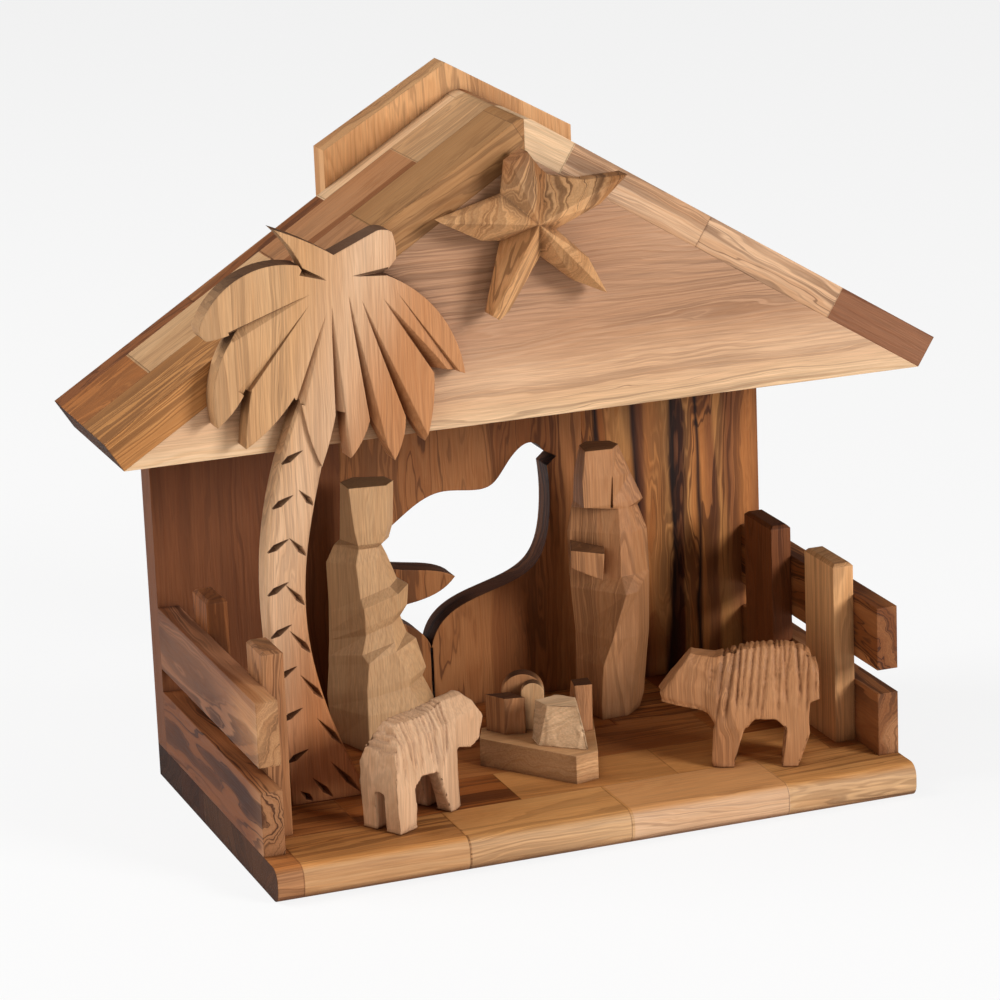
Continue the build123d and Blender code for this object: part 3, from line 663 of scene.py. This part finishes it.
def stop_tones(tree, place, grain_place, stops, along):
    """Tone and figure from stops along a direction, straying a little with the grain."""
    drawn_out = vector_calc(tree, "MULTIPLY", grain_place, DRAWN_OUT)
    stray = noise(tree, drawn_out, *STRAY_NOISE).outputs[0]
    stop_place = calc(tree, "MULTIPLY_ADD", stray, STOP_STRAY, dot(tree, place, along))
    stop_place = calc(tree, "SUBTRACT", stop_place, STOP_STRAY / 2)
    return ramp(tree, stop_place, stops[0][0], stops[-1][0], stops, stepped=False)


def wood(
    name, grain, tone=None, figure=0.5, ring=3.0, seed=0, stops=None, along=None, staves=None, seams=(),
    ends=1.0, foot=None, warm_top_reflection=False, sawn=None, reach=RECESS_SHADE_REACH,
):
    """Olive-wood material on the named node.

    The tone is one colour, or stops along a direction. Staves give the row's start, its first
    joint and one tone and figure for each stave. Seams are the glue lines at the given depths.
    Ends is how much darker the end grain goes, and foot the heights between which the piece goes darker
    and redder downwards, partly in its own tone and partly as painted shade. The top flag paints a warm
    reflection and shade on the top faces. Sawn is the height below which the sawn edges are dark. Reach
    is how wide a hollow that takes painted shade is, and how shut in it must be to take it fully.
    """
    material = bpy.data.materials.new(name + "_wood")
    material.use_nodes = True
    tree = material.node_tree
    axes = grain_axes(grain)
    coordinates = add_node(tree, "ShaderNodeTexCoord").outputs["Object"]
    place = vector_calc(tree, "MULTIPLY", coordinates, (PER_METRE, PER_METRE, PER_METRE))
    run, across, through = [dot(tree, place, axis) for axis in axes]
    grain_place = combine(tree, run, across, through)
    depth = dot(tree, place, BACKWARD)
    height = dot(tree, place, UPWARD)
    normal = add_node(tree, "ShaderNodeNewGeometry").outputs["True Normal"]
    lines = [calc(tree, "ABSOLUTE", calc(tree, "SUBTRACT", depth, seam)) for seam in seams]

    # The wood itself
    if staves:
        tone, figure, seed, joint_distance = stave_tones(tree, run, staves, seed)
        lines.append(joint_distance)
    elif stops:
        tone, figure = stop_tones(tree, place, grain_place, stops, along)
    group = add_node(tree, "ShaderNodeGroup", node_tree=OLIVE_WOOD)
    feed(tree, group.inputs["Grain"], grain_place)
    feed(tree, group.inputs["Seed"], seed)
    feed(tree, group.inputs["Tone"], tone)
    feed(tree, group.inputs["Figure"], figure)
    feed(tree, group.inputs["Ring"], ring)
    color = group.outputs["Color"]

    # End grain takes more oil and goes darker, and so do knife cuts across the fibres
    facing_end = calc(tree, "ABSOLUTE", dot(tree, normal, axes[0]))
    end_share = calc(tree, "MULTIPLY", smooth(tree, facing_end, *END_LEVELS), ends)
    color = tint_where(tree, end_share, color, END_GRAIN)

    # Glue lines
    for distance in lines:
        glue = invert(tree, smooth(tree, distance, JOINT_CORE * JOINT_LINE, JOINT_LINE))
        color = blend(tree, calc(tree, "MULTIPLY", glue, JOINT_SHADE), color, GLUE)

    # A saw leaves its edges dark
    if sawn:
        facing_back = calc(tree, "ABSOLUTE", dot(tree, normal, BACKWARD))
        above = smooth(tree, height, sawn - SAWN_STEP, sawn)
        edge_share = invert(tree, calc(tree, "MAXIMUM", facing_back, above))
        color = tint_where(tree, edge_share, color, SAWN)

    # Darker and redder towards the foot, partly the wood's own tone and partly painted shade
    if foot:
        color = tint_where(tree, invert(tree, smooth(tree, height, *foot)), color, FOOT_TONE_AND_SHADE)
    # Painted warm reflection and shade on the top faces
    if warm_top_reflection:
        facing_up = smooth(tree, dot(tree, normal, UPWARD), *TOP_REFLECTION_LEVELS)
        color = tint_where(tree, facing_up, color, TOP_WARM_REFLECTION)

    # Painted shade in recesses, in grooves and where pieces meet
    recess = add_node(tree, "ShaderNodeAmbientOcclusion", samples=SHADING_SAMPLES)
    recess.inputs["Distance"].default_value = reach[0]
    painted_recess_shade = smooth(tree, invert(tree, recess.outputs["AO"]), RECESS_SHADE_START, reach[1])
    color = tint_where(tree, painted_recess_shade, color, RECESS_SHADE)

    # Eased edges, with a painted highlight along them
    eased = add_node(tree, "ShaderNodeBevel", samples=SHADING_SAMPLES)
    eased.inputs["Radius"].default_value = EDGE_ROUND
    turned = invert(tree, dot(tree, eased.outputs[0], normal))
    edge_highlight = calc(tree, "MULTIPLY", smooth(tree, turned, *EDGE_HIGHLIGHT_LEVELS), EDGE_HIGHLIGHT_SHARE)
    color = tint_where(tree, edge_highlight, color, EDGE_HIGHLIGHT)

    # Fibres stand up a little
    bump = add_node(tree, "ShaderNodeBump")
    bump.inputs["Strength"].default_value = BUMP_STRENGTH
    bump.inputs["Distance"].default_value = BUMP_DEPTH
    feed(tree, bump.inputs["Height"], group.outputs["Height"])
    feed(tree, bump.inputs["Normal"], eased.outputs[0])

    roughness = calc(tree, "MULTIPLY_ADD", end_share, END_ROUGHNESS, group.outputs["Roughness"])
    shader = tree.nodes["Principled BSDF"]
    feed(tree, shader.inputs["Base Color"], color)
    feed(tree, shader.inputs["Roughness"], roughness)
    feed(tree, shader.inputs["Normal"], bump.outputs[0])
    shader.inputs["Specular IOR Level"].default_value = SHINE
    for slot in shown[name].material_slots:
        slot.material = material


def beside(seams, row):
    """The seams on both sides of a row, of the seams between rows."""
    return seams[max(row - 1, 0):row + 1]


# Base rows, from the front to the back, with a painted warm reflection and shade on their top faces
base_tones = (
    ((TAN, 0.5), (STRAW, 0.7), (SAND, 0.35), (PALE, 0.3), (SAND, 0.6)),
    ((TAN, 0.6), (RUST, 0.8), (STRAW, 0.3), (STRAW, 0.6), (TAN, 0.5)),
    ((TAN, 0.5), (RUST, 0.7), (TAN, 0.5), (TAN, 0.6), (RUST, 0.6)),
    ((BROWN, 0.6), (RUST, 0.7), (RUST, 0.8), (TAN, 0.8), (TAN, 0.6)),
    ((PLUM, 0.6), (GOLD, 0.5), (RUST, 0.7), (STRAW, 0.5), (BROWN, 0.6)),
)
base_seams = [BASE_DEPTH * (row / BASE_ROWS - 0.5) for row in range(1, BASE_ROWS)]
for row, tones in enumerate(base_tones):
    first_joint = EVEN_BASE_JOINT if row % 2 else ODD_BASE_JOINT
    wood(
        f"base_row_{row + 1}", ACROSS, ring=2.6, seed=11 + 20 * row,
        staves=(-BASE_WIDTH / 2, first_joint, tones), seams=beside(base_seams, row), warm_top_reflection=True,
    )

# Roof rows, from the front to the back, each from the ridge down
slope = atan2(ROOF_RISE, ROOF_SPAN / 2)
left_roof_tones = (
    ((OLIVE, 0.4), (TAN, 0.3), (GOLD, 0.6), (RUST, 0.5)),
    ((SAND, 0.3), (TAN, 1.0), (SAND, 0.35), (HONEY, 0.5), (TAN, 0.6)),
    ((CREAM, 0.2), (RUST, 0.9), (BROWN, 0.6), (BROWN, 0.5)),
)
right_roof_tones = (
    ((CREAM, 0.2), (PALE, 0.8), (PALE, 0.7), (PLUM, 0.9)),
    ((TAN, 0.4), (GOLD, 0.5), (RUST, 0.6), (STRAW, 0.5)),
    ((RUST, 0.4), (PALE, 0.5), (BROWN, 0.6), (GOLD, 0.4)),
)
roof_sides = (
    ("roof_left", -1, left_roof_tones, LEFT_ROOF_JOINTS),
    ("roof_right", 1, right_roof_tones, RIGHT_ROOF_JOINTS),
)
for name, side, row_tones, first_joints in roof_sides:
    down = Vector((side * cos(slope), 0, -sin(slope)))
    ridge = down.dot(Vector((ROOF_OFFSET, 0, RIDGE_HEIGHT)))
    for row, (tones, first_joint) in enumerate(zip(row_tones, first_joints)):
        wood(
            f"{name}_row_{row + 1}", down, ring=2.8, seed=131 + 20 * row + 70 * side,
            staves=(ridge, first_joint, tones), seams=beside(ROOF_SEAMS, row),
        )

# Gable board, paler towards its lower edge
gable_stops = ((94.0, CREAM, 0.45), (104.0, PALE, 0.5), (118.0, ROSE, 0.4), (165.0, ROSE, 0.35))
wood("gable_board", ACROSS, ring=2.8, seed=3, stops=gable_stops, along=UPWARD)

# Back wall: the middle board is golden above the roof, the right board is streaked from sap to heart
center_stops = ((8.0, RUST, 0.8), (92.0, RUST, 0.8), (142.0, AMBER, 0.8), (178.0, AMBER, 0.6))
right_stops = (
    (32.0, HONEY, 0.9), (36.0, GOLD, 0.9), (38.5, UMBER, 1.0), (40.0, HONEY, 0.9), (45.0, GOLD, 0.8),
    (47.0, UMBER, 1.0), (49.5, DARK, 1.0), (52.0, HONEY, 0.8), (55.5, GOLD, 0.7), (57.0, UMBER, 1.0),
    (59.5, DARK, 1.0), (61.0, GOLD, 0.8), (64.0, HONEY, 0.8), (65.5, UMBER, 1.0), (67.0, HONEY, 0.8),
    (71.0, BROWN, 0.9), (73.0, GOLD, 0.7), (76.0, BROWN, 0.9), (79.0, HONEY, 0.7), (83.0, BROWN, 0.6),
)
wood("back_board_left", UPWARD, DARK, figure=0.3, ring=4.0, seed=5, ends=0.6)
wood("back_board_center", UPWARD, ring=3.4, seed=7, stops=center_stops, along=UPWARD, ends=0.2, sawn=110)
wood("back_board_right", UPWARD, ring=2.4, seed=9, stops=right_stops, along=ACROSS, ends=0.6)

# Fences: the left rails are lighter at their front ends
low_rail_stops = ((-46.0, TAN, 0.9), (-26.0, WALNUT, 0.95), (50.0, WALNUT, 0.95))
top_rail_stops = ((-46.0, STRAW, 0.6), (-34.0, TAN, 0.8), (-12.0, PLUM, 0.95), (50.0, PLUM, 0.95))
wood("left_lower_rail", BACKWARD, ring=2.6, seed=61, stops=low_rail_stops, along=BACKWARD, ends=0.2)
wood("left_upper_rail", BACKWARD, ring=2.4, seed=68, stops=top_rail_stops, along=BACKWARD, ends=0.1)
wood("left_front_post", UPWARD, TAN, figure=0.6, ring=2.4, seed=23, ends=0.5)
wood("left_back_post", UPWARD, BROWN, figure=0.5, ring=2.4, seed=24, ends=0.5)
wood("right_lower_rail", BACKWARD, TAN, figure=0.95, ring=2.4, seed=25, ends=0.2)
wood("right_upper_rail", BACKWARD, RUST, figure=1.0, ring=2.6, seed=26, ends=0.2)
wood("right_front_post", UPWARD, AMBER, figure=0.35, ring=3.2, seed=27, ends=0.5)
wood("right_back_post", UPWARD, WALNUT, figure=0.6, ring=2.6, seed=28, ends=0.7)

# Palm, pale on the left and ruddy on the right and at the foot, where painted shade also darkens it
palm_stops = (
    (-112.0, SAND, 0.3), (-96.0, STRAW, 0.35), (-82.0, PALE, 0.25),
    (-64.0, RUDDY, 0.35), (-50.0, RUDDY, 0.4),
)
wood("palm_tree", UPWARD, ring=3.4, seed=31, stops=palm_stops, along=PALM_FALL, foot=(10, 70))

# Star, more veined towards its top ray
star_stops = ((122.0, AMBER, 0.6), (146.0, AMBER, 0.65), (154.0, STRAW, 0.9), (166.0, TAN, 1.0))
wood("star", STAR_GRAIN, ring=2.6, seed=35, stops=star_stops, along=UPWARD, ends=0.3)
wood("star_peg", BACKWARD, TAN, figure=0.3, seed=34)

# Figures, manger and sheep
wood("joseph_figure", UPWARD, SAND, figure=0.2, ring=4.0, seed=41, ends=0.7)
wood("mary_figure", UPWARD, TAN, figure=0.4, ring=3.6, seed=42, ends=0.7)
wood("manger_base", ACROSS, STRAW, figure=0.6, ring=3.2, seed=43, ends=0.4)
wood("crib_left_side", UPWARD, TAN, figure=0.5, ring=2.6, seed=44)
wood("crib_right_side", UPWARD, TAN, figure=0.4, ring=2.6, seed=45)
wood("child_body", ACROSS, CREAM, figure=0.2, ring=3.0, seed=46, ends=0.3)
wood("headboard", UPWARD, TAN, figure=0.5, ring=2.4, seed=47)
wood("child_head", UPWARD, SAND, figure=0.2, ring=2.4, seed=48)
# The sheep's wool grooves take painted shade over a narrower reach
wood("sheep_left", UPWARD, PALE, figure=0.25, ring=3.6, seed=51, ends=0.15, reach=WOOL_SHADE_REACH)
wood("sheep_right", UPWARD, TAN, figure=0.35, ring=3.0, seed=52, ends=0.15, reach=WOOL_SHADE_REACH)

# Floor: white to the camera, with part of its own shading kept for the shadow
bpy.ops.mesh.primitive_plane_add(size=FLOOR_SIZE, location=(0, 0, 0))
floor = bpy.context.object
floor.name = "floor"
floor_material = bpy.data.materials.new("floor_white")
floor_material.use_nodes = True
floor_tree = floor_material.node_tree
floor_shader = floor_tree.nodes["Principled BSDF"]
floor_shader.inputs["Base Color"].default_value = (*FLOOR_GREY, 1.0)
floor_shader.inputs["Roughness"].default_value = FLOOR_ROUGHNESS
glow = add_node(floor_tree, "ShaderNodeEmission")
glow.inputs["Color"].default_value = (*WHITE, 1.0)
seen = add_node(floor_tree, "ShaderNodeLightPath").outputs["Is Camera Ray"]
floor_mix = add_node(floor_tree, "ShaderNodeMixShader")
feed(floor_tree, floor_mix.inputs[0], calc(floor_tree, "MULTIPLY", seen, FLOOR_GLOW))
feed(floor_tree, floor_mix.inputs[1], floor_shader.outputs[0])
feed(floor_tree, floor_mix.inputs[2], glow.outputs[0])
feed(floor_tree, floor_tree.nodes["Material Output"].inputs["Surface"], floor_mix.outputs[0])
floor.data.materials.append(floor_material)

# World: soft fill, white to the camera
world = bpy.data.worlds.new("studio")
bpy.context.scene.world = world
world.use_nodes = True
world_tree = world.node_tree
background = world_tree.nodes["Background"]
background.inputs["Color"].default_value = (*WHITE, 1.0)
world_seen = add_node(world_tree, "ShaderNodeLightPath").outputs["Is Camera Ray"]
world_strength = calc(world_tree, "MULTIPLY_ADD", world_seen, 1.0 - WORLD_FILL, WORLD_FILL)
feed(world_tree, background.inputs["Strength"], world_strength)


def softbox(name, place, target, size, power, tinge=WHITE):
    """Square area light at a place, aimed at a target."""
    light = bpy.data.lights.new(name, "AREA")
    light.color = tinge
    light.size = size
    light.energy = power
    lamp = bpy.data.objects.new(name, light)
    lamp.location = place
    aim = Vector(target) - Vector(place)
    lamp.rotation_euler = aim.to_track_quat("-Z", "Y").to_euler()
    bpy.context.scene.collection.objects.link(lamp)


softbox("key", place=(0.75, -1.05, 0.52), target=(0.0, 0.0, 0.07), size=0.45, power=15.5)
softbox("top", place=(-0.9, 0.35, 1.0), target=(0.0, 0.0, 0.1), size=0.8, power=13.0)
softbox("fill", place=(-1.0, -0.8, 0.4), target=(0.0, 0.0, 0.07), size=0.8, power=4.0, tinge=FILL_TINGE)

# Camera
camera_data = bpy.data.cameras.new("camera")
camera_data.sensor_width = CAMERA_FILM
camera_data.lens = CAMERA_LENS
camera = bpy.data.objects.new("camera", camera_data)
heading = Matrix.Rotation(radians(CAMERA_HEADING), 4, "Z")
tilt = Matrix.Rotation(radians(CAMERA_TILT), 4, "X")
roll = Matrix.Rotation(radians(CAMERA_ROLL), 4, "Z")
camera.matrix_world = Matrix.Translation(CAMERA_PLACE) @ heading @ tilt @ roll
bpy.context.scene.collection.objects.link(camera)
bpy.context.scene.camera = camera
bpy.context.scene.view_settings.view_transform = "Standard"
